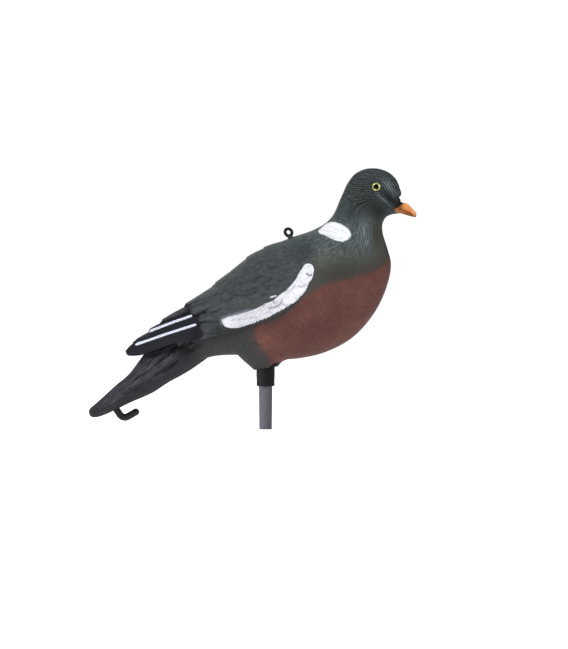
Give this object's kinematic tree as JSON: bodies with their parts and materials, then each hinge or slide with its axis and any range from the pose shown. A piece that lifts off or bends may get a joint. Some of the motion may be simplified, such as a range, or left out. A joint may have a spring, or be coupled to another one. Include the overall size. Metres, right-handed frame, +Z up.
{
  "type": "pigeon decoy",
  "caption": "Life-size painted hard-shell wood pigeon decoy on a short ground peg, with a hanging ring on its back and a hook under its tail.",
  "frame": {"origin": "centre of the flat foot of the peg, where the ground cuts it off", "axes": "+Z up along the peg, +X towards the bill, +Y to the bird's left"},
  "size_m": [0.3509, 0.1222, 0.2794],
  "materials": {
    "painted_shell": "matt paint on moulded plastic: slate head, back and wings, maroon breast, white neck patches and wing bars, orange bill",
    "eye": "glossy yellow iris with a black pupil",
    "black_plastic": "satin black moulded plastic",
    "grey_peg": "matt grey plastic tube, cut square at the ground"
  },
  "bodies": {
    "root": {"body": "painted_shell", "eye_left": "eye", "eye_right": "eye", "hanging_ring": "black_plastic", "tail_hook": "black_plastic", "peg_socket": "black_plastic", "peg": "grey_peg"}
  },
  "joints": []
}
